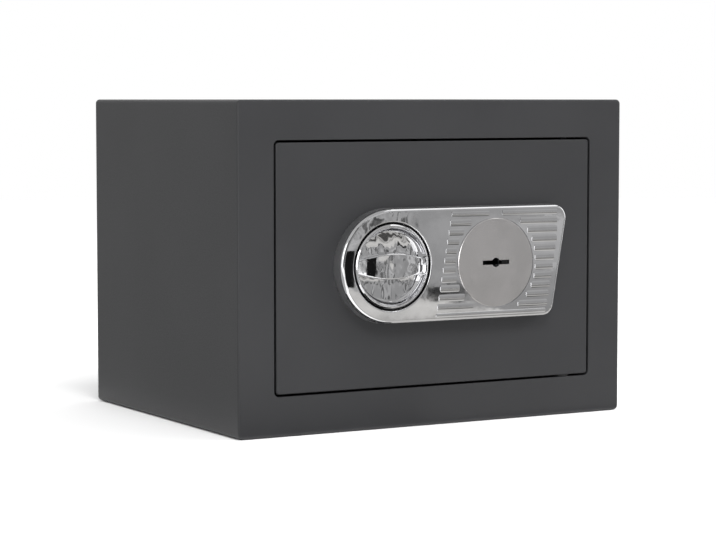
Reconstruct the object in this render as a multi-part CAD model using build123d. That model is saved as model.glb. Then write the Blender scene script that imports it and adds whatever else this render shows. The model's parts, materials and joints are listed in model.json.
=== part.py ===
from build123d import *
import math
import os

# A small steel security safe with a turning knob and a double-bit key lock.
# All sizes are in millimetres. X runs to the right, Y to the back and Z up.
# The origin is the middle of the cabinet's underside, and the front faces -Y.
# A depth is measured from the front face towards the back, so what stands in
# front of that face has a negative depth.

# Cabinet
cabinet_width = 350.0
cabinet_depth = 265.0
cabinet_height = 255.0
sheet_thickness = 2.0
shell_corner_radius = 3.5
frame_thickness = 2.5
frame_border = 30.4
frame_edge_radius = 1.8
opening_edge_radius = 0.5
return_thickness = 2.5
return_depth = 20.0
anchor_hole_radius = 6.0
base_anchor_spacing = 200.0
wall_anchor_spacing = 200.0
wall_anchor_height = 170.0
stop_lug_length = 5.5
stop_lug_height = 18.0
stop_lug_thickness = 4.0
stop_lug_inset = 8.0
stop_lug_edge_radius = 1.5
stop_lug_gap = 0.2

# Door leaf
door_gap = 1.8
leaf_thickness = 4.0
leaf_corner_radius = 2.4
leaf_edge_radius = 0.8
blind_hole_depth = 3.0
blind_hole_floor_gap = 0.2

# Door hinge, on the right
pivot_from_leaf_edge = 20.0
pivot_depth = 8.0
hinge_pin_radius = 3.5
hinge_running_clearance = 0.05
hinge_block_edge_radius = 3.0
frame_pin_clearance = 0.5
pin_tip_chamfer = 0.8
hinge_block_width = 16.0
knuckle_height = 20.0
knuckle_far_depth = 14.0
bracket_width = 20.0
bracket_height = 12.0
bracket_far_depth = 16.0
pin_head_radius = 5.0
pin_head_height = 2.0
pin_engagement = 17.0
washer_radius = 6.5
washer_thickness = 1.7
washer_clearance = 0.15

# Lock plate on the door
centre_height = 126.9
plate_half_height = 44.6
plate_left_centre_x = -48.4
plate_right_middle_x = 108.9
plate_lean = 0.176
plate_top_corner_radius = 11.0
plate_bottom_corner_radius = 10.0
plate_height = 11.5
plate_edge_radius = 3.0
plate_wall = 2.5
knob_recess_radius = 34.2
recess_lip_radius = 1.2
rib_height = 0.6
rib_width = 5.6
rib_pitch = 7.33
rib_first_offset = -4.3
ribs_below = 5
ribs_above = 6
rib_side_height = 0.12
rib_end_radius = 1.2
rib_left_middle_x = -1.3
rib_right_inset = 7.5
rib_right_limit_x = 104.8
rib_rim_margin = 3.2
rib_disc_margin = 2.4
screw_boss_radius = 4.5
plate_screw_hole_depth = 7.5
plate_screw_engagement = 7.0
plate_screw_clearance = 0.15
plate_screw_places = [(3.0, 164.0), (3.0, 90.0), (102.0, 161.0), (94.5, 94.5)]

# Key disc and keyhole
key_x = 46.6
disc_radius = 35.0
disc_seat_radius = 35.6
disc_face_height = 12.0
disc_thickness = 1.7
disc_edge_chamfer = 0.4
keyhole_length = 24.8
keyhole_width = 3.5
keyhole_centre_radius = 3.7
keyhole_clearance = 0.8
keyhole_boss_margin = 4.0

# Knob
knob_x = -47.5
knob_radius = 32.6
knob_back_gap = 0.4
knob_crest_height = 11.9
knob_crest_radius = 31.5
knob_crest_width = 0.7
knob_crest_slope = 1.0
knob_edge_radius = 0.4
bowl_middle_radius = 29.6
bowl_middle_height = 8.0
knob_back_chamfer = 0.8
dish_radius = 27.2
dish_height = 5.3
grip_half_height = 10.2
grip_end_half_height = 5.0
grip_half_length = 29.5
grip_height = 12.2
grip_end_height = 7.4
grip_edge_radius = 1.4
grip_root_depth = 1.0
hollow_height = 3.2
hollow_rim_height = 4.2
hollow_deepest_offset = 12.0

# Knob spindle and crank
spindle_radius = 5.0
spindle_seat_height = 9.0
spindle_end_depth = 18.6
spindle_end_chamfer = 0.3
spindle_groove_depth = 0.7
bush_radius = 8.0
bush_flange_radius = 11.0
bush_flange_thickness = 2.0
bush_front_gap = 0.2
spindle_running_clearance = 0.06
hub_radius = 8.0
hub_gap = 0.3
crank_near_depth = 13.5
crank_far_depth = 16.5
crank_disc_radius = 13.0
crank_end_radius = 6.0
crank_throw = 18.0
knob_turn_angle = 60.0
crank_pin_radius = 3.0
crank_pin_end_depth = 23.5
crank_pin_chamfer = 0.5
cross_pin_radius = 1.5
cross_pin_depth = 10.0
clip_thickness = 0.9
clip_mouth = 2.2
clip_gap = 0.3
clip_play = 0.1
spindle_clip_grip = 0.65
spindle_clip_rim = 2.5

# Bolt carriage, which slides to the left to lock
bolt_travel = 18.0
carriage_near_depth = 19.2
carriage_thickness = 3.0
carriage_left_x = -114.0
carriage_web_right_x = -62.0
carriage_middle_right_x = 10.0
carriage_middle_bottom = 96.0
carriage_edge_margin = 2.0
carriage_bend_radius = 2.5
carriage_slot_width = 6.5
carriage_slot_play = 1.0
carriage_window_place = (-46.0, 150.0)
carriage_window_width = 44.0
carriage_window_height = 22.0
carriage_window_radius = 5.0
guide_slot_width = 6.4
flange_far_depth = 41.0
stud_shoulder_radius = 5.0
stud_radius = 3.0
stud_end_depth = 25.2
stud_groove_depth = 0.5
stud_clip_grip = 0.45
stud_clip_rim = 1.8
carriage_play = 0.2
stud_places = [(-96.0, 178.0), (-96.0, 76.0), (-22.0, 178.0), (-22.0, 104.0)]
guide_washer_radius = 7.0
guide_washer_thickness = 0.8
guide_washer_gap = 0.3
guide_washer_clearance = 0.1
locking_bolt_radius = 9.0
locking_bolt_depth = 30.0
locking_bolt_offset = 50.0
locking_bolt_tip_x = -140.5
locking_bolt_chamfer = 1.2
locking_bolt_screw_radius = 3.0
locking_bolt_screw_length = 17.0
locking_bolt_screw_clearance = 0.1
locking_bolt_hole_gap = 2.0
socket_head_radius = 5.0
socket_head_height = 4.0
socket_radius = 2.9
socket_floor = 1.5
tab_x = 55.5
tab_near_depth = 8.0
tab_bottom = 166.0
arm_bottom = 172.0
arm_top = 186.0

# Guide rail and inner cover behind the door
rail_left_x = -136.0
rail_thickness = 3.0
rail_foot_width = 18.0
rail_far_depth = 42.0
rail_hole_radius = 9.25
rail_cover_gap = 0.2
cover_right_x = 108.0
cover_bottom = 46.0
cover_top = 209.0
cover_far_depth = 44.0
cover_sheet = 1.0
cover_bend_radius = 2.0
cover_lip = 10.0
cover_lip_overhang = 8.0
cover_screw_clearance = 0.2
cover_screw_xs = [-104.0, -8.0, 88.0]

# Key lock behind the door
lock_half_width = 32.0
lock_below = 40.0
lock_above = 36.0
lock_wall = 2.0
lock_case_far_depth = 17.5
lock_cover_thickness = 1.5
lock_cover_key_clearance = 0.3
lock_screw_clearance = 0.1
lock_post_radius = 4.0
lock_post_x = 27.0
lock_post_low = -35.0
lock_post_high = 31.0
lock_bolt_near_depth = 7.0
lock_bolt_thickness = 3.5
lock_bolt_half_width = 5.0
lock_bolt_slot_clearance = 0.3
lock_bolt_bridge_width = 40.0
lock_bolt_bridge_bottom = 14.0
lock_bolt_bridge_top = 22.0
lock_bolt_leg_bottom = -14.0
left_leg_width = 7.0
right_leg_width = 10.5
talon_depth = 4.0
talon_height = 7.0
stump_x = -16.5
stump_radius = 1.5
lever_count = 6
lever_thickness = 0.8
lever_pitch = 1.0
lever_near_depth = 11.0
lever_pivot = (-22.0, -24.0)
lever_pivot_radius = 2.0
lever_pivot_clearance = 0.08
lever_left = -26.0
lever_right = -6.0
lever_bottom = -28.0
lever_top = 14.0
lever_belly_radii = [10.6, 11.3, 10.9, 11.6, 10.8, 11.1]
gate_middle = (-15.6, 4.0)
gate_width = 5.6
gate_height = 12.6
gate_corner_radius = 0.6
lever_spring_width = 0.4
lever_spring_gap = 0.05
lever_spring_foot = -14.0
lever_spring_bend_start = -6.0
lever_spring_bend_end = 6.0
lever_spring_tip = 12.0
lever_spring_bend_radius = 4.0

# Fasteners
screw_radius = 2.0
screw_head_radius = 3.5
screw_head_height = 2.2
screw_head_edge_radius = 0.8
screw_socket_radius = 1.2
screw_socket_depth = 1.2
hole_clearance = 0.05
snug_clearance = 0.02

# Places worked out from the sizes above
front_face_y = -cabinet_depth / 2
cabinet_middle = cabinet_height / 2
opening_width = cabinet_width - 2 * frame_border
opening_height = cabinet_height - 2 * frame_border
opening_left_x = -opening_width / 2
opening_bottom = frame_border
opening_top = cabinet_height - frame_border
leaf_width = opening_width - 2 * door_gap
leaf_height = opening_height - 2 * door_gap
leaf_bottom = opening_bottom + door_gap
leaf_top = opening_top - door_gap
blind_screw_tip = leaf_thickness - blind_hole_depth + blind_hole_floor_gap
bracket_top = opening_top + return_thickness + bracket_height
bracket_bottom = opening_bottom - return_thickness - bracket_height
opening_corner_radius = leaf_corner_radius + door_gap
pivot_x = leaf_width / 2 - pivot_from_leaf_edge
plate_face = -plate_height
carriage_far_depth = carriage_near_depth + carriage_thickness
guide_washer_near = carriage_far_depth + guide_washer_gap
stud_groove_near = guide_washer_near + guide_washer_thickness + clip_play
locking_bolt_heights = [centre_height - locking_bolt_offset, centre_height + locking_bolt_offset]
lock_cover_far_depth = lock_case_far_depth + lock_cover_thickness
crank_angle = math.radians(knob_turn_angle / 2)
crank_pin_x = knob_x + crank_throw * math.sin(crank_angle)
crank_pin_height = centre_height - crank_throw * math.cos(crank_angle)


def between_depths(outline, near, far):
    # An outline drawn in X and Z becomes a solid from one depth to another
    plane = Plane.XZ.offset(-(front_face_y + far))
    return extrude(plane * outline, far - near)


def rod_across(x_start, x_end, depth, height, radius):
    plane = Plane.YZ.offset(x_start)
    return extrude(plane * (Pos(front_face_y + depth, height) * Circle(radius)), x_end - x_start)


def rod_upright(x, depth, bottom, top, radius):
    plane = Plane.XY.offset(bottom)
    return extrude(plane * (Pos(x, front_face_y + depth) * Circle(radius)), top - bottom)


def disc(x, height, radius, near, far):
    return between_depths(Pos(x, height) * Circle(radius), near, far)


def block(left, right, near, far, bottom, top):
    outline = Pos((left + right) / 2, (bottom + top) / 2) * Rectangle(right - left, top - bottom)
    return between_depths(outline, near, far)


def rounded(width, height, radius, middle=cabinet_middle):
    return Pos(0, middle) * RectangleRounded(width, height, radius)


def edges_at_depth(solid, depth):
    place = front_face_y + depth
    return [edge for edge in solid.edges()
            if abs(edge.bounding_box().min.Y - place) < 0.01
            and abs(edge.bounding_box().max.Y - place) < 0.01]


def pan_screw(x, height, head_depth, tip_depth):
    # The head stands behind head_depth and the shank points to the front
    head = disc(x, height, screw_head_radius, head_depth, head_depth + screw_head_height)
    head_end = head_depth + screw_head_height
    head = fillet(edges_at_depth(head, head_end), screw_head_edge_radius)
    socket = disc(x, height, screw_socket_radius, head_end - screw_socket_depth, head_end)
    return head + disc(x, height, screw_radius, tip_depth, head_depth) - socket


def retaining_clip(x, height, inner_radius, outer_radius, near):
    ring = Circle(outer_radius) - Circle(inner_radius)
    gap = Pos(0, -outer_radius) * Rectangle(clip_mouth, 2 * outer_radius)
    return between_depths(Pos(x, height) * (ring - gap), near, near + clip_thickness)


# Cabinet pieces

def make_cabinet_shell():
    outer = rounded(cabinet_width, cabinet_height, shell_corner_radius)
    inner = rounded(cabinet_width - 2 * sheet_thickness, cabinet_height - 2 * sheet_thickness,
                    shell_corner_radius - sheet_thickness)
    shell = between_depths(outer - inner, frame_thickness, cabinet_depth)
    for side in (-1, 1):
        x = side * base_anchor_spacing / 2
        shell -= rod_upright(x, cabinet_depth / 2, -1, sheet_thickness + 1, anchor_hole_radius)
    return shell


def make_back_panel():
    outline = rounded(cabinet_width - 2 * sheet_thickness, cabinet_height - 2 * sheet_thickness,
                      shell_corner_radius - sheet_thickness)
    panel = between_depths(outline, cabinet_depth - sheet_thickness, cabinet_depth)
    for side in (-1, 1):
        x = side * wall_anchor_spacing / 2
        panel -= disc(x, wall_anchor_height, anchor_hole_radius,
                      cabinet_depth - sheet_thickness - 1, cabinet_depth + 1)
    return panel


def make_front_frame():
    face = between_depths(rounded(cabinet_width, cabinet_height, shell_corner_radius), 0, frame_thickness)
    face = fillet(edges_at_depth(face, 0), frame_edge_radius)
    outer = rounded(opening_width + 2 * return_thickness, opening_height + 2 * return_thickness,
                    opening_corner_radius + return_thickness)
    opening = rounded(opening_width, opening_height, opening_corner_radius)
    frame = face + between_depths(outer, frame_thickness, return_depth)
    frame -= between_depths(opening, -1, return_depth + 1)
    half_width = opening_width / 2 + 0.1
    rim = [edge for edge in edges_at_depth(frame, 0) if abs(edge.center().X) < half_width]
    rim = [edge for edge in rim if opening_bottom - 0.1 < edge.center().Z < opening_top + 0.1]
    frame = fillet(rim, opening_edge_radius)
    pin_hole = hinge_pin_radius + frame_pin_clearance
    return frame - rod_upright(pivot_x, pivot_depth, opening_bottom - 5, opening_top + 5, pin_hole)


def make_hinge_bracket(bottom, top):
    bracket = block(pivot_x - bracket_width / 2, pivot_x + bracket_width / 2,
                    frame_thickness, bracket_far_depth, bottom, top)
    bracket = fillet(bracket.edges().filter_by(Axis.Z).group_by(Axis.Y)[-1], hinge_block_edge_radius)
    return bracket - rod_upright(pivot_x, pivot_depth, bottom - 1, top + 1, hinge_pin_radius + snug_clearance)


def make_hinge_pin(tip, root, head_end):
    pin = rod_upright(pivot_x, pivot_depth, min(tip, root), max(tip, root), hinge_pin_radius)
    pin = chamfer(pin.edges().group_by(Axis.Z)[0 if tip < root else -1], pin_tip_chamfer)
    return pin + rod_upright(pivot_x, pivot_depth, min(root, head_end), max(root, head_end), pin_head_radius)


def make_thrust_washer():
    bottom = opening_bottom
    top = opening_bottom + washer_thickness
    washer = rod_upright(pivot_x, pivot_depth, bottom, top, washer_radius)
    bore = hinge_pin_radius + washer_clearance
    return washer - rod_upright(pivot_x, pivot_depth, bottom - 1, top + 1, bore)


def make_stop_lugs():
    near = leaf_thickness + stop_lug_gap
    lugs = []
    for bottom in (opening_bottom + stop_lug_inset, opening_top - stop_lug_inset - stop_lug_height):
        lug = block(opening_left_x, opening_left_x + stop_lug_length, near,
                    near + stop_lug_thickness, bottom, bottom + stop_lug_height)
        lugs.append(fillet(lug.edges().filter_by(Axis.Y).group_by(Axis.X)[-1], stop_lug_edge_radius))
    return lugs


# Door pieces

def keyhole_outline(grow):
    slot = Rectangle(keyhole_length + 2 * grow, keyhole_width + 2 * grow)
    return Pos(key_x, centre_height) * (slot + Circle(keyhole_centre_radius + grow))


def lock_post_places():
    return [(key_x + side * lock_post_x, centre_height + level)
            for side in (-1, 1) for level in (lock_post_low, lock_post_high)]


def cover_screw_places():
    lip_centres = (cover_bottom - cover_lip / 2, cover_top + cover_lip / 2)
    return [(x, height) for x in cover_screw_xs for height in lip_centres]


def make_door_leaf():
    leaf = between_depths(rounded(leaf_width, leaf_height, leaf_corner_radius), 0, leaf_thickness)
    leaf = fillet(edges_at_depth(leaf, 0), leaf_edge_radius)
    leaf -= disc(knob_x, centre_height, bush_radius + snug_clearance, -1, leaf_thickness + 1)
    leaf -= between_depths(keyhole_outline(keyhole_clearance), -1, leaf_thickness + 1)
    for x, height in plate_screw_places:
        leaf -= disc(x, height, screw_radius + plate_screw_clearance, -1, leaf_thickness + 1)
    for x, height in lock_post_places() + cover_screw_places():
        leaf -= disc(x, height, screw_radius + hole_clearance, leaf_thickness - blind_hole_depth,
                     leaf_thickness + 1)
    return leaf


def make_hinge_knuckle(bottom, top):
    knuckle = block(pivot_x - hinge_block_width / 2, pivot_x + hinge_block_width / 2,
                    leaf_thickness, knuckle_far_depth, bottom, top)
    knuckle = fillet(knuckle.edges().filter_by(Axis.Z).group_by(Axis.Y)[-1], hinge_block_edge_radius)
    bore = hinge_pin_radius + hinge_running_clearance
    return knuckle - rod_upright(pivot_x, pivot_depth, bottom - 1, top + 1, bore)


def make_bolt_guide_rail():
    bottom = cover_bottom + cover_sheet + rail_cover_gap
    top = cover_top - cover_sheet - rail_cover_gap
    foot = block(rail_left_x, rail_left_x + rail_foot_width, leaf_thickness,
                 leaf_thickness + rail_thickness, bottom, top)
    wall = block(rail_left_x, rail_left_x + rail_thickness, leaf_thickness, rail_far_depth, bottom, top)
    rail = foot + wall
    for height in locking_bolt_heights:
        rail -= rod_across(rail_left_x - 1, rail_left_x + rail_thickness + 1, locking_bolt_depth,
                           height, rail_hole_radius)
    return rail


def make_inner_cover():
    tray = block(rail_left_x, cover_right_x, leaf_thickness, cover_far_depth, cover_bottom, cover_top)
    back = edges_at_depth(tray, cover_far_depth)
    bends = [edge for edge in back if edge.center().X > rail_left_x + 1]
    tray = fillet(bends, cover_bend_radius)
    hollow = block(rail_left_x - 5, cover_right_x - cover_sheet, leaf_thickness - 1,
                   cover_far_depth - cover_sheet, cover_bottom + cover_sheet, cover_top - cover_sheet)
    inside = [edge for edge in edges_at_depth(hollow, cover_far_depth - cover_sheet)
              if edge.center().X > rail_left_x]
    cover = tray - fillet(inside, cover_bend_radius - cover_sheet)
    lip_left = cover_screw_xs[0] - cover_lip_overhang
    lip_right = cover_screw_xs[-1] + cover_lip_overhang
    for low, high in ((cover_bottom - cover_lip, cover_bottom + cover_sheet),
                      (cover_top - cover_sheet, cover_top + cover_lip)):
        cover += block(lip_left, lip_right, leaf_thickness, leaf_thickness + cover_sheet, low, high)
    for x, height in cover_screw_places():
        cover -= disc(x, height, screw_radius + cover_screw_clearance, leaf_thickness - 1,
                      leaf_thickness + cover_sheet + 1)
    return cover


def make_cover_screws():
    under_head = leaf_thickness + cover_sheet
    return [pan_screw(x, height, under_head, blind_screw_tip) for x, height in cover_screw_places()]


def plate_outline():
    # Half round at the left end, and a straight edge at the right that leans outwards to the top
    h = plate_half_height
    top_left = (plate_left_centre_x, h)
    top_right = (plate_right_middle_x + plate_lean * h, h)
    bottom_right = (plate_right_middle_x - plate_lean * h, -h)
    bottom_left = (plate_left_centre_x, -h)
    wire = Line(top_left, top_right) + Line(top_right, bottom_right) + Line(bottom_right, bottom_left)
    wire += ThreePointArc(bottom_left, (plate_left_centre_x - h, 0), top_left)
    face = make_face(wire)
    corner = [v for v in face.vertices() if v.X > 0 and v.Y > 0]
    face = fillet(corner, plate_top_corner_radius)
    corner = face.vertices().sort_by(Axis.Y).filter_by(lambda v: v.X > 0)[0]
    face = fillet([corner], plate_bottom_corner_radius)
    return Pos(0, centre_height) * face


def make_rib(start, end, low, high):
    # Its front is a shallow crown that falls to rib_side_height at its long sides
    middle = centre_height + (low + high) / 2
    rise = rib_height - rib_side_height
    crown = (((high - low) / 2) ** 2 + rise ** 2) / (2 * rise)
    outline = Pos((start + end) / 2, middle) * RectangleRounded(end - start, high - low, rib_end_radius)
    bar = between_depths(outline, plate_face - rib_height, plate_face)
    return bar & rod_across(start - 1, end + 1, plate_face - rib_height + crown, middle, crown)


def make_ribs():
    # Both ends lean with the plate's right edge, except at its top corner, and ribs step round the disc
    margin = plate_half_height - rib_rim_margin
    keep_out = disc_radius + rib_disc_margin
    ribs = []
    for step in range(-ribs_below, ribs_above + 1):
        centre = rib_first_offset + step * rib_pitch
        low = max(centre - rib_width / 2, -margin)
        high = min(centre + rib_width / 2, margin)
        left = rib_left_middle_x + plate_lean * centre
        right = min(rib_right_limit_x, plate_right_middle_x - rib_right_inset + plate_lean * centre)
        nearest = max(0.0, abs(centre) - rib_width / 2)
        stretches = [(left, right)]
        if nearest < keep_out:
            half_gap = math.sqrt(keep_out ** 2 - nearest ** 2)
            stretches = [(left, key_x - half_gap), (key_x + half_gap, right)]
        ribs += [make_rib(start, end, low, high) for start, end in stretches]
    return ribs


def make_escutcheon():
    outline = plate_outline()
    plate = between_depths(outline, plate_face, 0)
    plate = fillet(edges_at_depth(plate, plate_face), plate_edge_radius)
    plate -= disc(knob_x, centre_height, knob_recess_radius, plate_face - 1, 1)
    lip = [edge for edge in edges_at_depth(plate, plate_face) if edge.geom_type == GeomType.CIRCLE
           and abs(edge.radius - knob_recess_radius) < 0.01]
    plate = fillet(lip, recess_lip_radius)
    for rib in make_ribs():
        plate += rib
    seat_depth = -disc_face_height + disc_thickness
    plate -= disc(key_x, centre_height, disc_seat_radius, plate_face - 1, seat_depth)
    hollow = offset(outline, -plate_wall)
    hollow -= Pos(knob_x, centre_height) * Circle(knob_recess_radius + plate_wall)
    hollow -= Pos(key_x, centre_height) * Circle(keyhole_length / 2 + keyhole_boss_margin)
    for x, height in plate_screw_places:
        hollow -= Pos(x, height) * Circle(screw_boss_radius)
    plate -= between_depths(hollow, seat_depth + plate_wall, 1)
    plate -= between_depths(keyhole_outline(keyhole_clearance), plate_face - 1, 1)
    for x, height in plate_screw_places:
        plate -= disc(x, height, screw_radius + hole_clearance, -plate_screw_hole_depth, 1)
    return plate


def make_plate_screws():
    return [pan_screw(x, height, leaf_thickness, -plate_screw_engagement) for x, height in plate_screw_places]


def make_key_disc():
    face = -disc_face_height
    plate = disc(key_x, centre_height, disc_radius, face, face + disc_thickness)
    plate = chamfer(edges_at_depth(plate, face), disc_edge_chamfer)
    return plate - between_depths(keyhole_outline(0), face - 1, face + disc_thickness + 1)


def make_knob_bush():
    bush = disc(knob_x, centre_height, bush_radius, bush_front_gap, leaf_thickness)
    bush += disc(knob_x, centre_height, bush_flange_radius, leaf_thickness,
                 leaf_thickness + bush_flange_thickness)
    bore = spindle_radius + spindle_running_clearance
    return bush - disc(knob_x, centre_height, bore, -1, leaf_thickness + bush_flange_thickness + 1)


# Knob pieces

def grip_outline(half_length):
    # A lens that is widest in the middle, with its two long sides as arcs
    run = grip_half_length
    rise = grip_half_height - grip_end_half_height
    arc_radius = (run ** 2 + rise ** 2) / (2 * rise)
    drop = arc_radius - math.sqrt(arc_radius ** 2 - half_length ** 2)
    end = grip_half_height - drop
    wire = ThreePointArc((-half_length, end), (0, grip_half_height), (half_length, end))
    wire += Line((half_length, end), (half_length, -end))
    wire += ThreePointArc((half_length, -end), (0, -grip_half_height), (-half_length, -end))
    wire += Line((-half_length, -end), (-half_length, end))
    return make_face(wire)


def make_grip():
    rise = grip_height - grip_end_height
    bow = (grip_half_length ** 2 + rise ** 2) / (2 * rise)
    bar = between_depths(grip_outline(knob_crest_radius), -grip_height - 1, -knob_back_gap - grip_root_depth)
    bar &= Pos(0, front_face_y - grip_height + bow, 0) * Cylinder(bow, 2 * knob_radius)
    long_edges = [edge for edge in bar.edges() if edge.bounding_box().size.X > knob_crest_radius
                  and edge.center().Y < front_face_y - hollow_height - 1]
    return fillet(long_edges, grip_edge_radius)


def make_hollow(side):
    # A scoop for the fingers above or below the grip, deepest beside it
    reach = dish_radius - hollow_deepest_offset
    rise = hollow_rim_height - hollow_height
    sweep = (reach ** 2 + rise ** 2) / (2 * rise)
    sweep_centre = Pos(front_face_y - hollow_height - sweep, side * hollow_deepest_offset)
    scoop = extrude(Plane.YZ * (sweep_centre * Circle(sweep)), 2 * knob_radius, both=True)
    outline = Circle(dish_radius) - grip_outline(knob_radius)
    half = Pos(0, side * knob_radius) * Rectangle(2 * knob_radius, 2 * knob_radius)
    return between_depths(outline & half, -knob_crest_height - 1, 0) & scoop


def make_turn_knob():
    back = front_face_y - knob_back_gap
    dish = front_face_y - dish_height
    crest = front_face_y - knob_crest_height
    shoulder = crest + knob_crest_slope
    crest_end = (knob_crest_radius - knob_crest_width, crest)
    bowl_middle = (bowl_middle_radius, front_face_y - bowl_middle_height)
    profile = Polyline((dish_radius, dish), (0, dish), (0, back), (knob_radius - knob_back_chamfer, back),
                       (knob_radius, back - knob_back_chamfer), (knob_radius, shoulder),
                       (knob_crest_radius, crest), crest_end)
    profile += ThreePointArc(crest_end, bowl_middle, (dish_radius, dish))
    body = revolve(make_face(profile), Axis.Y)
    rings = [edge for edge in body.edges() if edge.geom_type == GeomType.CIRCLE]
    body = fillet([ring for ring in rings if ring.center().Y < shoulder + 0.1
                   and ring.radius > dish_radius + 1], knob_edge_radius)
    knob = body + (make_grip() & between_depths(Circle(knob_crest_radius), -grip_height - 1, 1))
    for side in (-1, 1):
        knob -= make_hollow(side)
    knob -= between_depths(Circle(spindle_radius + snug_clearance), -spindle_seat_height, 1)
    return Pos(knob_x, 0, centre_height) * knob


def cross_pin_hole():
    reach = hub_radius + 1
    return rod_across(knob_x - reach, knob_x + reach, cross_pin_depth, centre_height,
                      cross_pin_radius + snug_clearance)


def make_spindle():
    spindle = disc(knob_x, centre_height, spindle_radius, -spindle_seat_height, spindle_end_depth)
    near = crank_far_depth + clip_gap
    groove = disc(knob_x, centre_height, spindle_radius + 1, near, near + clip_thickness + clip_play)
    groove -= disc(knob_x, centre_height, spindle_radius - spindle_groove_depth, 0, spindle_end_depth)
    spindle -= groove
    spindle = chamfer(edges_at_depth(spindle, spindle_end_depth), spindle_end_chamfer)
    return spindle - cross_pin_hole()


def make_cam_plate():
    centre = Pos(knob_x, centre_height) * Circle(crank_disc_radius)
    end = Pos(crank_pin_x, crank_pin_height) * Circle(crank_end_radius)
    plate = between_depths(make_hull((centre + end).edges()), crank_near_depth, crank_far_depth)
    hub_near = leaf_thickness + bush_flange_thickness + hub_gap
    plate += disc(knob_x, centre_height, hub_radius, hub_near, crank_near_depth)
    plate -= disc(knob_x, centre_height, spindle_radius + snug_clearance, 0, crank_far_depth + 1)
    pin_hole = crank_pin_radius + snug_clearance
    plate -= disc(crank_pin_x, crank_pin_height, pin_hole, 0, crank_far_depth + 1)
    return plate - cross_pin_hole()


def make_cross_pin():
    return rod_across(knob_x - hub_radius, knob_x + hub_radius, cross_pin_depth, centre_height,
                      cross_pin_radius)


def make_crank_pin():
    pin = disc(crank_pin_x, crank_pin_height, crank_pin_radius, crank_near_depth, crank_pin_end_depth)
    return chamfer(edges_at_depth(pin, crank_pin_end_depth), crank_pin_chamfer)


# Bolt carriage pieces

def make_guide_studs():
    shoulder = carriage_near_depth - carriage_play
    studs = []
    for x, height in stud_places:
        stud = disc(x, height, stud_shoulder_radius, leaf_thickness, shoulder)
        stud += disc(x, height, stud_radius, shoulder, stud_end_depth)
        groove_far = stud_groove_near + clip_thickness + clip_play
        ring = disc(x, height, stud_radius + 1, stud_groove_near, groove_far)
        studs.append(stud - (ring - disc(x, height, stud_radius - stud_groove_depth, 0, stud_end_depth)))
    return studs


def make_guide_washers():
    bore = stud_radius + guide_washer_clearance
    far = guide_washer_near + guide_washer_thickness
    return [disc(x, height, guide_washer_radius, guide_washer_near, far)
            - disc(x, height, bore, 0, stud_end_depth) for x, height in stud_places]


def make_guide_clips():
    near = stud_groove_near + clip_play / 2
    return [retaining_clip(x, height, stud_radius - stud_clip_grip, stud_radius + stud_clip_rim, near)
            for x, height in stud_places]


def make_spindle_clip():
    return retaining_clip(knob_x, centre_height, spindle_radius - spindle_clip_grip,
                          spindle_radius + spindle_clip_rim, crank_far_depth + clip_gap + clip_play / 2)


def slot_across(x, height):
    # A stud sits at the slot's left end while the bolts are drawn back
    length = bolt_travel + guide_slot_width
    return Pos(x + bolt_travel / 2, height) * SlotOverall(length, guide_slot_width)


def make_bolt_carriage():
    bolt_reach = locking_bolt_offset + locking_bolt_radius + carriage_edge_margin
    low = centre_height - bolt_reach
    high = centre_height + bolt_reach
    near = carriage_near_depth
    far = carriage_far_depth
    tab_end = tab_x + carriage_thickness
    flange_end = carriage_left_x + carriage_thickness
    plate = block(carriage_left_x, carriage_web_right_x, near, far, low, high)
    plate += block(carriage_web_right_x, carriage_middle_right_x, near, far, carriage_middle_bottom, arm_top)
    plate += block(carriage_middle_right_x, tab_end, near, far, arm_bottom, arm_top)
    plate += block(tab_x, tab_end, tab_near_depth, far, tab_bottom, arm_top)
    plate += block(carriage_left_x, flange_end, near, flange_far_depth, low, high)
    bend = [edge for edge in edges_at_depth(plate, near) if edge.center().X < carriage_left_x + 0.1]
    plate = fillet(bend, carriage_bend_radius)
    for x, height in stud_places:
        plate -= between_depths(slot_across(x, height), near - 1, far + 1)
    lowest = centre_height - crank_throw
    slot_length = crank_pin_height - lowest + carriage_slot_width + carriage_slot_play
    crank_slot = Rot(0, 0, 90) * SlotOverall(slot_length, carriage_slot_width)
    plate -= between_depths(Pos(crank_pin_x, (lowest + crank_pin_height) / 2) * crank_slot, near - 1, far + 1)
    for height in locking_bolt_heights:
        plate -= rod_across(carriage_left_x - 1, flange_end + 1, locking_bolt_depth, height,
                            locking_bolt_screw_radius + locking_bolt_screw_clearance)
    window = RectangleRounded(carriage_window_width, carriage_window_height, carriage_window_radius)
    return plate - between_depths(Pos(carriage_window_place) * window, near - 1, far + 1)


def make_locking_bolt(height):
    bolt = rod_across(locking_bolt_tip_x, carriage_left_x, locking_bolt_depth, height, locking_bolt_radius)
    bolt = chamfer(bolt.edges().group_by(Axis.X)[0], locking_bolt_chamfer)
    hole_end = carriage_left_x + carriage_thickness - locking_bolt_screw_length - locking_bolt_hole_gap
    return bolt - rod_across(hole_end, carriage_left_x + 1, locking_bolt_depth, height,
                             locking_bolt_screw_radius + snug_clearance)


def make_locking_bolt_screws():
    screws = []
    inner_face = carriage_left_x + carriage_thickness
    for height in locking_bolt_heights:
        head = rod_across(inner_face, inner_face + socket_head_height, locking_bolt_depth, height,
                          socket_head_radius)
        socket_place = Pos(front_face_y + locking_bolt_depth, height)
        socket = socket_place * RegularPolygon(socket_radius, 6)
        head -= extrude(Plane.YZ.offset(inner_face + socket_floor) * socket, socket_head_height)
        shank = rod_across(inner_face - locking_bolt_screw_length, inner_face, locking_bolt_depth,
                           height, locking_bolt_screw_radius)
        screws.append(head + shank)
    return screws


# Key lock pieces, placed from the key's axis

def lock_place(x, height):
    return Pos(key_x + x, centre_height + height)


def lock_outline(inset):
    width = 2 * (lock_half_width - inset)
    height = lock_below + lock_above - 2 * inset
    return lock_place(0, (lock_above - lock_below) / 2) * Rectangle(width, height)


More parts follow.
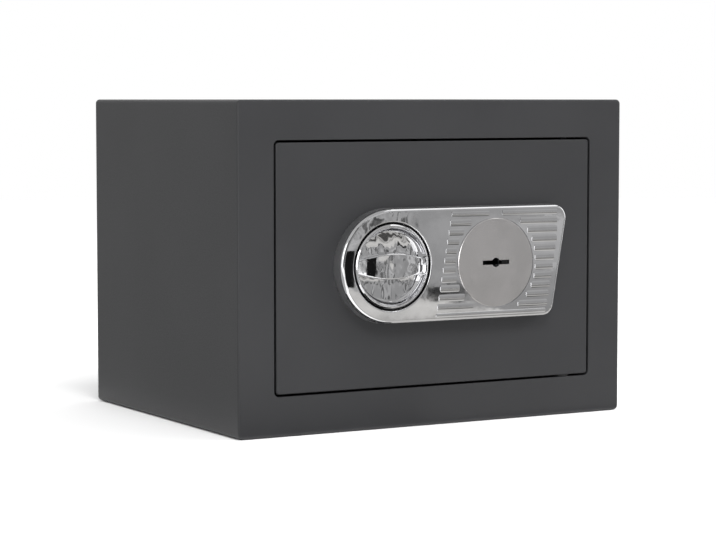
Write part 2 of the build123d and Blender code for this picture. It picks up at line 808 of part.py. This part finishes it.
def make_lock_case():
    case = between_depths(lock_outline(0), leaf_thickness, lock_case_far_depth)
    cavity = lock_outline(lock_wall)
    for x, height in lock_post_places():
        cavity -= Pos(x, height) * Circle(lock_post_radius)
    case -= between_depths(cavity, leaf_thickness + lock_wall, lock_case_far_depth + 1)
    for x, height in lock_post_places():
        case -= disc(x, height, screw_radius + lock_screw_clearance, leaf_thickness - 1,
                     lock_case_far_depth + 1)
    case -= between_depths(keyhole_outline(keyhole_clearance), leaf_thickness - 1,
                           leaf_thickness + lock_wall + 1)
    slot_half = lock_bolt_half_width + lock_bolt_slot_clearance
    top = centre_height + lock_above
    return case - block(key_x - slot_half, key_x + slot_half,
                        lock_bolt_near_depth - lock_bolt_slot_clearance,
                        lock_bolt_near_depth + lock_bolt_thickness + lock_bolt_slot_clearance,
                        top - lock_wall - 1, top + 1)


def make_lock_cover():
    cover = between_depths(lock_outline(0), lock_case_far_depth, lock_cover_far_depth)
    key_hole = keyhole_centre_radius + lock_cover_key_clearance
    cover -= disc(key_x, centre_height, key_hole, 0, lock_cover_far_depth + 1)
    for x, height in lock_post_places():
        cover -= disc(x, height, screw_radius + lock_screw_clearance, 0, lock_cover_far_depth + 1)
    return cover


def make_lock_screws():
    return [pan_screw(x, height, lock_cover_far_depth, blind_screw_tip) for x, height in lock_post_places()]


def make_lever_post():
    x, height = lever_pivot
    return disc(key_x + x, centre_height + height, lever_pivot_radius, leaf_thickness + lock_wall,
                lock_case_far_depth)


def lock_rectangle(left, right, bottom, top):
    return Pos((left + right) / 2, (bottom + top) / 2) * Rectangle(right - left, top - bottom)


def make_lock_bolt():
    # The head slides out of the top of the case, and two legs reach down past the key
    reach = lock_bolt_bridge_width / 2
    talon_left = reach - right_leg_width
    outline = lock_rectangle(-lock_bolt_half_width, lock_bolt_half_width, lock_bolt_bridge_bottom, lock_above)
    outline += lock_rectangle(-reach, reach, lock_bolt_bridge_bottom, lock_bolt_bridge_top)
    outline += lock_rectangle(-reach, left_leg_width - reach, lock_bolt_leg_bottom, lock_bolt_bridge_top)
    outline += lock_rectangle(talon_left, reach, lock_bolt_leg_bottom, lock_bolt_bridge_top)
    outline -= lock_rectangle(talon_left, talon_left + talon_depth, -talon_height / 2, talon_height / 2)
    outline -= Pos(stump_x, 0) * Circle(stump_radius + snug_clearance)
    return between_depths(lock_place(0, 0) * outline, lock_bolt_near_depth,
                          lock_bolt_near_depth + lock_bolt_thickness)


def make_bolt_stump():
    far = lever_near_depth + lever_count * lever_pitch
    return disc(key_x + stump_x, centre_height, stump_radius, lock_bolt_near_depth, far)


def make_levers():
    levers = []
    for index in range(lever_count):
        outline = lock_rectangle(lever_left, lever_right, lever_bottom, lever_top)
        outline -= Circle(lever_belly_radii[index])
        outline -= Pos(gate_middle) * RectangleRounded(gate_width, gate_height, gate_corner_radius)
        outline -= Pos(lever_pivot) * Circle(lever_pivot_radius + lever_pivot_clearance)
        near = lever_near_depth + index * lever_pitch
        levers.append(between_depths(lock_place(0, 0) * outline, near, near + lever_thickness))
    return levers


def make_lever_springs():
    # Each leaf spring stands on the case's left wall and presses its lever towards the key
    wall = -lock_half_width + lock_wall + lever_spring_width / 2
    touch = lever_left - lever_spring_width / 2 - lever_spring_gap
    path = Polyline((wall, lever_spring_foot), (wall, lever_spring_bend_start),
                    (touch, lever_spring_bend_end), (touch, lever_spring_tip))
    path = fillet(path.vertices()[1:3], lever_spring_bend_radius)
    outline = trace(path, lever_spring_width)
    springs = []
    for index in range(lever_count):
        near = lever_near_depth + index * lever_pitch
        springs.append(between_depths(lock_place(0, 0) * outline, near, near + lever_thickness))
    return springs


def write_node(name, shape):
    solids = []
    for piece in shape if isinstance(shape, list) else [shape]:
        solids += piece.solids()
    node = solids[0] if len(solids) == 1 else Compound(solids)
    node.label = name
    export_step(node, f"parts/{name}.step")


os.makedirs("parts", exist_ok=True)

write_node("cabinet_shell", make_cabinet_shell())
write_node("back_panel", make_back_panel())
write_node("front_frame", make_front_frame())
write_node("upper_hinge_bracket", make_hinge_bracket(opening_top + return_thickness, bracket_top))
write_node("lower_hinge_bracket", make_hinge_bracket(bracket_bottom, opening_bottom - return_thickness))
write_node("upper_hinge_pin", make_hinge_pin(leaf_top - pin_engagement, bracket_top,
                                             bracket_top + pin_head_height))
write_node("lower_hinge_pin", make_hinge_pin(leaf_bottom + pin_engagement, bracket_bottom,
                                             bracket_bottom - pin_head_height))
write_node("hinge_thrust_washer", make_thrust_washer())
write_node("door_stop_lugs", make_stop_lugs())

write_node("door_leaf", make_door_leaf())
write_node("upper_hinge_knuckle", make_hinge_knuckle(leaf_top - knuckle_height, leaf_top))
write_node("lower_hinge_knuckle", make_hinge_knuckle(leaf_bottom, leaf_bottom + knuckle_height))
write_node("bolt_guide_rail", make_bolt_guide_rail())
write_node("door_inner_cover", make_inner_cover())
write_node("cover_screws", make_cover_screws())
write_node("escutcheon", make_escutcheon())
write_node("escutcheon_screws", make_plate_screws())
write_node("key_disc", make_key_disc())
write_node("knob_bush", make_knob_bush())

write_node("turn_knob", make_turn_knob())
write_node("knob_spindle", make_spindle())
write_node("cam_plate", make_cam_plate())
write_node("cam_cross_pin", make_cross_pin())
write_node("crank_pin", make_crank_pin())
write_node("spindle_clip", make_spindle_clip())

write_node("carriage_guide_studs", make_guide_studs())
write_node("guide_washers", make_guide_washers())
write_node("guide_clips", make_guide_clips())
write_node("bolt_carriage", make_bolt_carriage())
write_node("upper_locking_bolt", make_locking_bolt(locking_bolt_heights[1]))
write_node("lower_locking_bolt", make_locking_bolt(locking_bolt_heights[0]))
write_node("locking_bolt_screws", make_locking_bolt_screws())

write_node("lock_case", make_lock_case())
write_node("lock_cover", make_lock_cover())
write_node("lock_screws", make_lock_screws())
write_node("lever_post", make_lever_post())
write_node("lock_bolt", make_lock_bolt())
write_node("lock_bolt_stump", make_bolt_stump())
write_node("lock_levers", make_levers())
write_node("lever_springs", make_lever_springs())
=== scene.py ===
import json
import math

import bpy
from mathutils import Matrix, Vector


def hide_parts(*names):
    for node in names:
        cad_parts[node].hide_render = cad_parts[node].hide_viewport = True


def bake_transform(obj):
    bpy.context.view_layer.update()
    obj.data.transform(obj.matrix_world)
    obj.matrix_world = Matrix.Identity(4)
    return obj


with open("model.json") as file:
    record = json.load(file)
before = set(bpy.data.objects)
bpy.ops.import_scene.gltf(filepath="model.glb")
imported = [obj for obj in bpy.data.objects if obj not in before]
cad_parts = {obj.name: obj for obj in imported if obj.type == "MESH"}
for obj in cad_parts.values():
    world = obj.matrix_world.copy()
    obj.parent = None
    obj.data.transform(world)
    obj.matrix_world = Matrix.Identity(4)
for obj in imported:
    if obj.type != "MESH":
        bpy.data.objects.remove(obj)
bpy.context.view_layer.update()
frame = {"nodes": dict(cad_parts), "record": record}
nodes = frame["nodes"]


class Value:
    # A socket that does sums: each operator adds a Math node
    def __init__(self, finish, socket):
        self.finish = finish
        self.socket = socket

    def sum(self, operation, first, second):
        return self.finish.node("ShaderNodeMath", {"operation": operation}, {0: first, 1: second})

    def __add__(self, other):
        return self.sum("ADD", self, other)

    def __sub__(self, other):
        return self.sum("SUBTRACT", self, other)

    def __rsub__(self, other):
        return self.sum("SUBTRACT", other, self)

    def __mul__(self, other):
        return self.sum("MULTIPLY", self, other)

    __radd__ = __add__
    __rmul__ = __mul__


class Finish:
    # A material that makes its own nodes
    def __init__(self, name):
        self.material = bpy.data.materials.new(name)
        self.material.use_nodes = True
        self.nodes = self.material.node_tree.nodes
        self.links = self.material.node_tree.links
        self.shader = self.nodes["Principled BSDF"]

    def plug(self, socket, value):
        if isinstance(value, Value):
            self.links.new(value.socket, socket)
        elif socket.type == "RGBA":
            socket.default_value = (*value, 1.0)
        else:
            socket.default_value = value

    def node(self, kind, settings, sockets, output=0):
        made = self.nodes.new(kind)
        for name, value in settings.items():
            setattr(made, name, value)
        for name, value in sockets.items():
            self.plug(made.inputs[name], value)
        return Value(self, made.outputs[output])

    def spot(self):
        return self.node("ShaderNodeTexCoord", {}, {}, "Object")

    def coordinate(self, axis):
        return self.node("ShaderNodeSeparateXYZ", {}, {"Vector": self.spot()}, axis)

    def fromAxis(self, x, z):
        # Distance in metres from an axis that runs along Y
        flat = self.node("ShaderNodeVectorMath", {"operation": "MULTIPLY"}, {0: self.spot(), 1: (1, 0, 1)})
        return self.node("ShaderNodeVectorMath", {"operation": "DISTANCE"}, {0: flat, 1: (x, 0, z)}, "Value")

    def noise(self, size, detail=2.0, rough=0.5, stretch=(1, 1, 1)):
        # size is the width of one blotch in metres, and a stretch under 1 draws it out along that axis
        place = self.node("ShaderNodeMapping", {}, {"Vector": self.spot(), "Scale": stretch})
        sockets = {"Vector": place, "Scale": 1.0 / size, "Detail": detail, "Roughness": rough}
        return self.node("ShaderNodeTexNoise", {}, sockets)

    def spread(self, value, between=(0.3, 0.7), to=(0.0, 1.0)):
        # Noise lies mostly between 0.3 and 0.7
        low, high = between
        first, last = to
        sockets = {"Value": value, "From Min": low, "From Max": high, "To Min": first, "To Max": last}
        return self.node("ShaderNodeMapRange", {"interpolation_type": "SMOOTHSTEP"}, sockets)

    def blend(self, share, first, second):
        # The Mix node's sockets 6 and 7 and its output 2 are the ones for colours
        return self.node("ShaderNodeMix", {"data_type": "RGBA"}, {0: share, 6: first, 7: second}, 2)

    def bump(self, height, depth):
        # depth is the height in metres of a full step in the pattern
        return self.node("ShaderNodeBump", {}, {"Height": height, "Distance": depth, "Strength": 1.0})

    def paint(self, **sockets):
        for name, value in sockets.items():
            self.plug(self.shader.inputs[name.replace("_", " ")], value)
        return self.material


fading = (1.0, 0.0)


def mixed(first, second, share):
    return first * (1 - share) + second * share


def covered(under, over, share):
    return under + (over - under) * share


print("camera")
cameraSettings = {
    "place": (-0.9432, -1.6621, 0.2567),
    "downTilt": 4.296,
    "turn": -29.666,
    "lens": 115.52,
    "farthest": 50,
}
cameraData = bpy.data.cameras.new("photoCamera")
camera = bpy.data.objects.new("photoCamera", cameraData)
camera.location = cameraSettings["place"]
cameraTilt = math.radians(90 - cameraSettings["downTilt"])
camera.rotation_euler = (cameraTilt, 0, math.radians(cameraSettings["turn"]))
cameraData.lens = cameraSettings["lens"]
cameraData.clip_end = cameraSettings["farthest"]
bpy.context.scene.collection.objects.link(camera)
bpy.context.scene.camera = camera


print("finishes")
coatSettings = {
    "colour": (0.0240, 0.0243, 0.0260),
    "worn": (0.0280, 0.0283, 0.0302),
    "roughness": (0.40, 0.50),
    "gloss": 0.35,
    "grainSize": 0.0011,
    "grainDepth": 0.00004,
    "speckSize": 0.35,  # as a share of the grain's
    "speckShare": 0.3,
    "cabinetCloud": 0.11,
    "doorCloud": 0.14,
}


def powderCoat(name, cloudSize):
    # Fine matt anthracite powder coat, with the soft grain that it cures to
    coat = Finish(name)
    grain = coat.noise(coatSettings["grainSize"], detail=3.0, rough=0.55)
    speck = coat.noise(coatSettings["grainSize"] * coatSettings["speckSize"], detail=1.0)
    cloud = coat.noise(cloudSize, detail=3.0)
    shade = coat.spread(mixed(cloud, speck, coatSettings["speckShare"]))
    return coat.paint(
        Base_Color=coat.blend(shade, coatSettings["colour"], coatSettings["worn"]),
        Roughness=coat.spread(grain, to=coatSettings["roughness"]),
        Normal=coat.bump(mixed(grain, speck, coatSettings["speckShare"]), coatSettings["grainDepth"]),
        Specular_IOR_Level=coatSettings["gloss"],
    )


plateSettings = {
    "wavyAbove": (0.145, 0.160),
    "wavyLeftOf": (-0.040, -0.022),
    "satinBehind": -0.1410,
    "satinFade": 0.0008,
    "satinRoughness": 0.38,
}
knobSettings = {
    "axis": (-0.0475, 0.1269),
    "ringInside": (0.0257, 0.0272),
}


def everywhere(chrome):
    return 1.0


def aboveKnob(chrome):
    # The upper left of the plate
    above = chrome.spread(chrome.coordinate("Z"), plateSettings["wavyAbove"])
    left = chrome.spread(chrome.coordinate("X"), plateSettings["wavyLeftOf"], fading)
    return above * left


def insideRing(chrome):
    # The dish and the grip, but not the ring round them
    return chrome.spread(chrome.fromAxis(*knobSettings["axis"]), knobSettings["ringInside"], fading)


chromeSettings = {
    "colour": (0.72, 0.72, 0.73),
    "dulled": (0.66, 0.66, 0.67),
    "roughness": (0.03, 0.07),
    "smearSize": 0.03,
    "smearRange": (0.3, 0.75),
    "plateWaves": [
        {"size": 0.022, "depth": 0.00008, "stretch": (1, 1, 1), "where": everywhere},
        {"size": 0.006, "depth": 0.000012, "stretch": (1, 1, 1), "where": everywhere},
        {"size": 0.012, "depth": 0.0006, "stretch": (1, 1, 0.6), "where": aboveKnob},
    ],
    "knobWaves": [
        {"size": 0.011, "depth": 0.0008, "stretch": (1, 1, 0.5), "where": insideRing},
        {"size": 0.005, "depth": 0.00012, "stretch": (1, 1, 0.5), "where": insideRing},
    ],
}


def waviness(chrome, wave):
    # The slight waves that casting and polishing leave, in metres above and below the flat
    ripple = chrome.noise(wave["size"], detail=1.0, rough=0.4, stretch=wave["stretch"]) - 0.5
    return ripple * wave["depth"] * wave["where"](chrome)


def polishedChrome(name, waves, satinEdge=False):
    # Chrome on die-cast zinc
    chrome = Finish(name)
    height = sum(waviness(chrome, wave) for wave in waves)
    smear = chrome.noise(chromeSettings["smearSize"], detail=3.0, rough=0.55)
    polish = chrome.spread(smear, chromeSettings["smearRange"], chromeSettings["roughness"])
    if satinEdge:
        # The plate's rim is satin behind its face
        behind = plateSettings["satinBehind"]
        polish = polish + chrome.spread(chrome.coordinate("Y"), (behind - plateSettings["satinFade"], behind),
                                        (0.0, plateSettings["satinRoughness"]))
    return chrome.paint(
        Base_Color=chrome.blend(chrome.spread(smear), chromeSettings["colour"], chromeSettings["dulled"]),
        Metallic=1.0,
        Roughness=polish,
        Normal=chrome.bump(height, 1.0),
    )


nickelSettings = {
    "dark": (0.69, 0.674, 0.672),
    "light": (0.75, 0.732, 0.73),
    "roughness": (0.24, 0.26),
    "grainSize": 0.0003,
    "grainStretch": (0.2, 1, 1),
    "grainDepth": 0.0000002,
    "cloudSize": 0.02,
}


def satinNickel(name):
    nickel = Finish(name)
    grain = nickel.noise(nickelSettings["grainSize"], stretch=nickelSettings["grainStretch"])
    cloud = nickel.noise(nickelSettings["cloudSize"])
    return nickel.paint(
        Base_Color=nickel.blend(nickel.spread(cloud), nickelSettings["dark"], nickelSettings["light"]),
        Metallic=1.0,
        Roughness=nickel.spread(grain, to=nickelSettings["roughness"]),
        Normal=nickel.bump(grain, nickelSettings["grainDepth"]),
    )


metalSettings = {
    "cloudSize": 0.012,
    "cloudRange": (0.35, 0.65),
    "grainShare": 0.4,
    "grainDepth": 0.00001,
}
metals = {
    "zincPlate": {
        "light": (0.58, 0.60, 0.63), "dark": (0.50, 0.51, 0.52), "roughness": (0.28, 0.42),
        "grainSize": 0.0008},
    "turnedSteel": {
        "light": (0.62, 0.62, 0.63), "dark": (0.55, 0.55, 0.55), "roughness": (0.18, 0.30),
        "grainSize": 0.0005},
    "blackenedSteel": {
        "light": (0.014, 0.014, 0.015), "dark": (0.008, 0.008, 0.009), "roughness": (0.35, 0.5),
        "grainSize": 0.0008},
    "brass": {
        "light": (0.72, 0.52, 0.22), "dark": (0.62, 0.44, 0.18), "roughness": (0.24, 0.36),
        "grainSize": 0.0006},
}


def machinedMetal(name):
    metal = Finish(name)
    own = metals[name]
    grain = metal.noise(own["grainSize"])
    cloud = metal.noise(metalSettings["cloudSize"], detail=3.0, rough=0.6)
    return metal.paint(
        Base_Color=metal.blend(metal.spread(cloud, metalSettings["cloudRange"]), own["light"], own["dark"]),
        Metallic=1.0,
        Roughness=metal.spread(mixed(cloud, grain, metalSettings["grainShare"]), to=own["roughness"]),
        Normal=metal.bump(grain, metalSettings["grainDepth"]),
    )


nylonSettings = {
    "dark": (0.012, 0.012, 0.013),
    "light": (0.022, 0.022, 0.023),
    "roughness": (0.45, 0.60),
    "grainSize": 0.0008,
    "grainDepth": 0.00002,
}


def blackNylon(name):
    nylon = Finish(name)
    grain = nylon.noise(nylonSettings["grainSize"])
    return nylon.paint(
        Base_Color=nylon.blend(grain, nylonSettings["dark"], nylonSettings["light"]),
        Roughness=nylon.spread(grain, to=nylonSettings["roughness"]),
        Normal=nylon.bump(grain, nylonSettings["grainDepth"]),
    )


finishes = {
    "coated_cabinet": powderCoat("cabinetCoat", coatSettings["cabinetCloud"]),
    "coated_door": powderCoat("doorCoat", coatSettings["doorCloud"]),
    "chrome_plate": polishedChrome("plateChrome", chromeSettings["plateWaves"], satinEdge=True),
    "chrome_knob": polishedChrome("knobChrome", chromeSettings["knobWaves"]),
    "satin_disc": satinNickel("discNickel"),
    "plated_steel": machinedMetal("zincPlate"),
    "bright_steel": machinedMetal("turnedSteel"),
    "blackened_steel": machinedMetal("blackenedSteel"),
    "black_nylon": blackNylon("blackNylon"),
    "brass_parts": machinedMetal("brass"),
}
for part in frame["record"]["subparts"]:
    nodes[part["node"]].data.materials[0] = finishes[part["material_slot"]]


print("lever springs")
# The leaf springs are copied from the CAD node, which is hidden, and their place is baked into the copy
leverSprings = bpy.data.objects.new("leverSprings", nodes["lever_springs"].data.copy())
bpy.context.scene.collection.objects.link(leverSprings)
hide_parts("lever_springs")
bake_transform(leverSprings)


print("floor and lights")
floorSettings = {
    "radius": 4.0,
    "sides": 96,
    "level": -0.0004,
    "dark": (0.88, 0.88, 0.88),
    "light": (0.91, 0.91, 0.91),
    "mottleSize": 0.3,
    "roughness": 0.7,
}


def floorFinish():
    # Pale paper without gloss, so that it mirrors none of the cards
    paper = Finish("floorPaper")
    mottle = paper.noise(floorSettings["mottleSize"])
    return paper.paint(
        Base_Color=paper.blend(mottle, floorSettings["dark"], floorSettings["light"]),
        Roughness=floorSettings["roughness"],
        Specular_IOR_Level=0.0,
    )


bpy.ops.mesh.primitive_circle_add(vertices=floorSettings["sides"], radius=floorSettings["radius"],
                                  fill_type="NGON", location=(0, 0, floorSettings["level"]))
floor = bpy.context.object
floor.name = "floor"
floor.data.materials.append(floorFinish())

worldSettings = {
    "colour": (1, 1, 1, 1),
    "strength": 1.0,
}
world = bpy.data.worlds.new("studio")
bpy.context.scene.world = world
world.use_nodes = True
world.node_tree.nodes["Background"].inputs["Color"].default_value = worldSettings["colour"]
world.node_tree.nodes["Background"].inputs["Strength"].default_value = worldSettings["strength"]


def cardGlow(name, shade, tint, strength):
    # The card glows: its shade is a painted reflection, made from the finish so that it can vary over the
    # card
    card = Finish(name)
    return card.paint(
        Base_Color=(0, 0, 0),
        Specular_IOR_Level=0.0,
        Emission_Color=card.blend(shade(card), (0, 0, 0), tint),
        Emission_Strength=strength,
    )


def studioCard(name, corners, faces, shade, tint=(1, 1, 1), turn=0, strength=1.0):
    # Cards show only where the object's gloss mirrors them, as painted reflections: they light nothing and
    # cast no shadow
    mesh = bpy.data.meshes.new(name)
    mesh.from_pydata(corners, [], faces)
    card = bpy.data.objects.new(name, mesh)
    card.rotation_euler.z = math.radians(turn)
    mesh.materials.append(cardGlow(name, shade, tint, strength))
    bpy.context.scene.collection.objects.link(card)
    card.visible_camera = False
    card.visible_diffuse = False
    card.visible_shadow = False


def flatCard(name, x, y, level, **look):
    (left, right), (near, far) = x, y
    corners = [(left, near, level), (right, near, level), (right, far, level), (left, far, level)]
    studioCard(name, corners, [(0, 1, 2, 3)], **look)


def uprightCard(name, first, last, heights, **look):
    bottom, top = heights
    corners = [(*first, bottom), (*last, bottom), (*last, top), (*first, top)]
    studioCard(name, corners, [(0, 1, 2, 3)], **look)


def even(low, high, reach=3):
    # A shade that runs from low at the left to high at the right
    return lambda card: card.spread(card.coordinate("X"), (-reach, reach), (low, high))


streakSettings = {
    "range": (0.38, 0.62),
    "shade": (0.08, 0.66),
}


def streaked(card, size, stretch):
    # Streaks stand for what stood in the room
    streaks = card.noise(size, rough=0.55, stretch=stretch)
    return card.spread(streaks, streakSettings["range"], streakSettings["shade"])


paperSettings = {
    "mottleSize": 0.12,
    "shade": (0.68, 0.80),
    "streakSize": 0.09,
    "streakStretch": (1, 0.15, 1),
    "shadowFar": (-0.92, -0.86),
    "shadowNear": (-0.28, -0.22),
}


def paperShade(card):
    # Lit paper, with a streaked shadow across it in front of the object
    paper = card.spread(card.noise(paperSettings["mottleSize"]), to=paperSettings["shade"])
    streaks = streaked(card, paperSettings["streakSize"], paperSettings["streakStretch"])
    y = card.coordinate("Y")
    shadow = card.spread(y, paperSettings["shadowFar"]) * card.spread(y, paperSettings["shadowNear"], fading)
    return covered(paper, streaks, shadow)


greySettings = {
    "depths": (-1.7, -0.7),
    "shade": (0.44, 0.32),
    "blotchSize": 0.14,
    "blotchRange": (0.38, 0.62),
    "blotchShade": (0.15, 0.66),
    "blotchesFrom": (0.94, 1.02),
}


def greyShade(card):
    # Plain where the flat of the plate mirrors it, and blotched farther to the right for the grip
    plain = card.spread(card.coordinate("Y"), greySettings["depths"], greySettings["shade"])
    blotches = card.spread(card.noise(greySettings["blotchSize"]), greySettings["blotchRange"],
                           greySettings["blotchShade"])
    return covered(plain, blotches, card.spread(card.coordinate("X"), greySettings["blotchesFrom"]))


plainSettings = {
    "widths": (-0.1, 0.4),
    "shade": (0.40, 0.62),
    "depths": (-2.5, -1.5),
    "fall": (1.03, 0.85),
}


def plainShade(card):
    # Darker near the object, so that the disc and the plate darken towards their lower edges
    shade = card.spread(card.coordinate("X"), plainSettings["widths"], plainSettings["shade"])
    return shade * card.spread(card.coordinate("Y"), plainSettings["depths"], plainSettings["fall"])


roomSettings = {
    "radius": 3.2,
    "height": 1.6,
    "firstAngle": 232,
    "lastAngle": 352,
    "steps": 24,
    "plainFrom": (1.48, 1.58),
    "plainShade": 0.48,
    "streakSize": 0.22,
    "streakStretch": (1, 1, 0.15),
    "heights": (0.2, 1.2),
    "rise": (0.8, 1.0),
    "floorStreakSize": 0.14,
    "floorStreakStretch": (1, 0.12, 1),
}


def roomShade(card):
    # The plain part is what the right of the plate mirrors
    plain = card.spread(card.coordinate("X"), roomSettings["plainFrom"])
    streaks = streaked(card, roomSettings["streakSize"], roomSettings["streakStretch"])
    shade = covered(streaks, roomSettings["plainShade"], plain)
    return shade * card.spread(card.coordinate("Z"), roomSettings["heights"], roomSettings["rise"])


def roomFloorShade(card):
    return streaked(card, roomSettings["floorStreakSize"], roomSettings["floorStreakStretch"])


def roomWall():
    # Part of a round wall in front of the object, from the left of the camera to the right
    first, last, steps = roomSettings["firstAngle"], roomSettings["lastAngle"], roomSettings["steps"]
    angles = [math.radians(first + (last - first) * step / steps) for step in range(steps + 1)]
    corners = [(roomSettings["radius"] * math.cos(angle), roomSettings["radius"] * math.sin(angle), level)
               for angle in angles for level in (0, roomSettings["height"])]
    faces = [(2 * step, 2 * step + 2, 2 * step + 3, 2 * step + 1) for step in range(steps)]
    studioCard("roomWall", corners, faces, roomShade)


# A card with x, y and a level lies flat, and one with first, last and heights stands upright
cards = {
    "paperFloor": {
        "x": (0.0, 0.57), "y": (-0.14, -1.45), "level": 0.002, "shade": paperShade,
        "tint": (1.0, 0.985, 0.955)},
    "greyFloor": {"x": (0.57, 3.2), "y": (-0.14, -1.5), "level": 0.002, "shade": greyShade},
    "roomFloor": {
        "x": (-2.5, -0.06), "y": (-1.42, -3.4), "level": 0.001, "shade": roomFloorShade, "turn": 30},
    "plainFloor": {"x": (-0.06, 1.9), "y": (-1.30, -3.4), "level": 0.001, "shade": plainShade, "turn": 30},
    "ceiling": {"x": (-4, 4), "y": (1, -5), "level": 2.9, "shade": even(0.62, 0.42)},
    "leftFloor": {"x": (-2.6, -0.20), "y": (2.2, -0.7), "level": 0.002, "shade": even(0.55, 0.50)},
    "leftWall": {
        "first": (-2.6, -0.7), "last": (-0.2, 2.0), "heights": (0.0, 2.4), "shade": even(0.58, 0.58)},
    # A strip brighter than white to the right: painted highlights on the edges that face right
    "sideHighlightStrip": {
        "first": (2.87, -1.16), "last": (3.08, 0.32), "heights": (0.0, 1.6), "shade": even(1.0, 1.0),
        "strength": 1.7},
    # A black strip of floor just in front of the base: painted shade, which darkens the lower edges where
    # they mirror it
    "paintedShadeFloor": {"x": (-0.20, 0.19), "y": (-0.134, -0.20), "level": 0.0015, "shade": even(0.03, 0.03)},
    # A strip brighter than white overhead on the right: painted highlights on the edges that face up, such as
    # the tops of the plate's ribs
    "topHighlightStrip": {"x": (1.3, 3.0), "y": (-2.4, 0.2), "level": 2.85, "shade": even(1.0, 1.0), "strength": 1.4},
    "edgeLight": {
        "first": (-2.8, -1.5), "last": (-1.9, -2.6), "heights": (0.0, 1.8), "shade": even(0.9, 1.0),
        "strength": 3.5},
    # A small dark card just in front of the knob: a painted dark reflection on the left of the knob
    "knobDarkReflection": {
        "first": (-0.068, -0.2052), "last": (-0.0465, -0.2052), "heights": (0.1062, 0.1355),
        "shade": even(0.008, 0.012)},
    "darkCamera": {
        "first": (-0.35, -2.5), "last": (0.09, -2.6), "heights": (0.0, 1.7), "shade": even(0.012, 0.03)},
    "darkClamp": {
        "first": (0.552, -1.085), "last": (0.595, -1.055), "heights": (0.0, 0.023),
        "shade": even(0.012, 0.03)},
}

roomWall()
for name, card in cards.items():
    if "level" in card:
        flatCard(name, **card)
    else:
        uprightCard(name, **card)

lamps = {
    "keyBox": {"place": (-0.6, -2.4, 2.6), "aim": (0, 0, 0.1), "size": (1.6, 1.2), "power": 72},
    "fillBox": {"place": (2.8, -1.3, 2.0), "aim": (0, 0, 0.1), "size": (1.2, 1.2), "power": 85},
}


def softBox(name, place, aim, size, power):
    lampData = bpy.data.lights.new(name, "AREA")
    lampData.shape = "RECTANGLE"
    lampData.size, lampData.size_y = size
    lampData.energy = power
    lamp = bpy.data.objects.new(name, lampData)
    lamp.visible_glossy = False  # the chrome mirrors the cards instead
    lamp.location = place
    lamp.rotation_euler = (Vector(place) - Vector(aim)).to_track_quat("Z", "Y").to_euler()
    bpy.context.scene.collection.objects.link(lamp)


for name, lamp in lamps.items():
    softBox(name, **lamp)

bpy.context.scene.view_settings.view_transform = "Standard"
